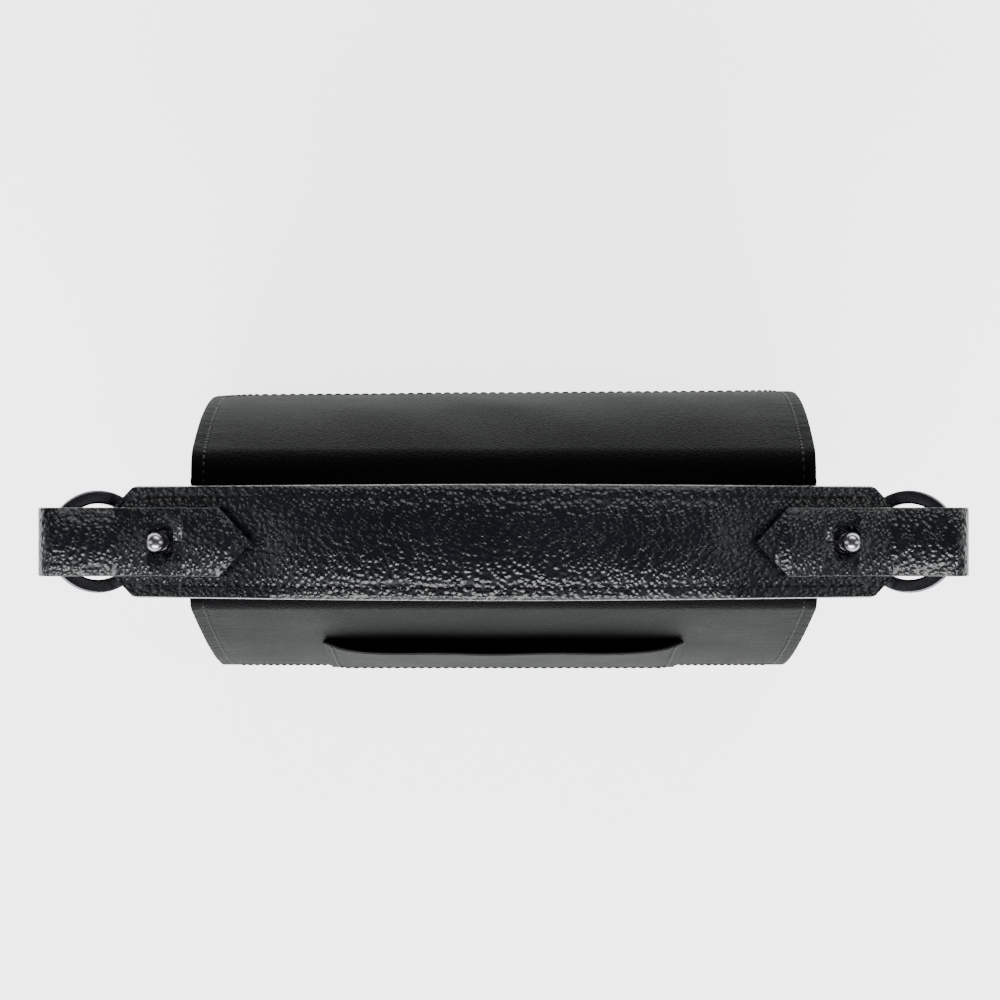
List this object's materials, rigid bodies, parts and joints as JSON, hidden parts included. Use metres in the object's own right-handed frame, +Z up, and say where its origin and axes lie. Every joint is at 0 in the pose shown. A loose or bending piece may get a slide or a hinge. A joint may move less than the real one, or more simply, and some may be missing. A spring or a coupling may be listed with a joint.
{
  "type": "handbag",
  "caption": "Small flap handbag with a leather body, an arched top handle on two swinging rings, pointed tabs on ball studs, and a slip pocket on the back.",
  "frame": {"origin": "on the floor under the middle of the body, at the base", "axes": "front (flap) -Y, back (slip pocket) +Y, +Z up, handle along X"},
  "size_m": [0.3116, 0.1025, 0.1825],
  "materials": {
    "body_leather": "satin fine-grained leather",
    "handle_leather": "glossy pebbled leather",
    "lining_cloth": "fine woven cotton",
    "handle_core": "bonded leather fibre",
    "board": "stiff bag board",
    "magnet": "nickel-plated magnet",
    "gunmetal": "polished black nickel"
  },
  "bodies": {
    "bag": {"back_panel": "body_leather", "front_panel": "body_leather", "base_panel": "body_leather", "gusset_left": "body_leather", "gusset_right": "body_leather", "base_board": "board", "lining_back": "lining_cloth", "lining_front": "lining_cloth", "lining_base": "lining_cloth", "lining_left": "lining_cloth", "lining_right": "lining_cloth", "inner_pocket": "lining_cloth", "back_pocket": "body_leather", "front_magnet": "magnet", "chape_left": "body_leather", "chape_right": "body_leather"},
    "flap": {"flap_leather": "body_leather", "flap_lining": "lining_cloth", "flap_magnet": "magnet"},
    "ring_left": {"ring_left": "gunmetal"},
    "ring_right": {"ring_right": "gunmetal"},
    "handle_mid": {"handle_mid_face": "handle_leather", "handle_mid_core": "handle_core", "handle_mid_backing": "handle_leather"},
    "handle_left": {"handle_left_face": "handle_leather", "handle_left_core": "handle_core", "handle_left_backing": "handle_leather", "tail_left": "handle_leather", "stud_left": "gunmetal", "stud_screw_left": "gunmetal"},
    "handle_right": {"handle_right_face": "handle_leather", "handle_right_core": "handle_core", "handle_right_backing": "handle_leather", "tail_right": "handle_leather", "stud_right": "gunmetal", "stud_screw_right": "gunmetal"},
    "tab_left": {"tab_left": "handle_leather"},
    "tab_right": {"tab_right": "handle_leather"}
  },
  "joints": [
    {"name": "flap_hinge", "type": "hinge", "parent": "bag", "child": "flap", "pos_m": [0, -0.02, 0.152], "axis": [-1, 0, 0], "range_deg": [0, 100]},
    {"name": "ring_left_swing", "type": "hinge", "parent": "bag", "child": "ring_left", "pos_m": [-0.1226, 0.003, 0.15], "axis": [0, 1, 0], "range_deg": [0, 68], "deforming": ["tail_left", "tail_right"]},
    {"name": "handle_left_turn", "type": "hinge", "parent": "ring_left", "child": "handle_left", "pos_m": [-0.15042, 0.003, 0.16124], "axis": [0, -1, 0], "range_deg": [0, 103.49]},
    {"name": "handle_left_bend", "type": "hinge", "parent": "handle_left", "child": "handle_mid", "pos_m": [-0.045, 0.003, 0.17544], "axis": [0, 1, 0], "range_deg": [0, 35.49]},
    {"name": "handle_right_bend", "type": "hinge", "parent": "handle_mid", "child": "handle_right", "pos_m": [0.045, 0.003, 0.17544], "axis": [0, 1, 0], "range_deg": [0, 35.49]},
    {"name": "ring_right_swing", "type": "hinge", "parent": "bag", "child": "ring_right", "pos_m": [0.1226, 0.003, 0.15], "axis": [0, -1, 0], "range_deg": [0, 68]},
    {"name": "tab_left_lift", "type": "hinge", "parent": "handle_left", "child": "tab_left", "pos_m": [-0.128, 0.003, 0.16259], "axis": [0, -1, 0], "range_deg": [0, 60]},
    {"name": "tab_right_lift", "type": "hinge", "parent": "handle_right", "child": "tab_right", "pos_m": [0.128, 0.003, 0.16259], "axis": [0, 1, 0], "range_deg": [0, 60]}
  ],
  "couplings": [
    {"joint": "handle_left_turn", "follows": "ring_left_swing", "ratio": 1.5217},
    {"joint": "handle_left_bend", "follows": "ring_left_swing", "ratio": 0.52173},
    {"joint": "handle_right_bend", "follows": "ring_left_swing", "ratio": 0.52173},
    {"joint": "ring_right_swing", "follows": "ring_left_swing", "ratio": 1}
  ]
}
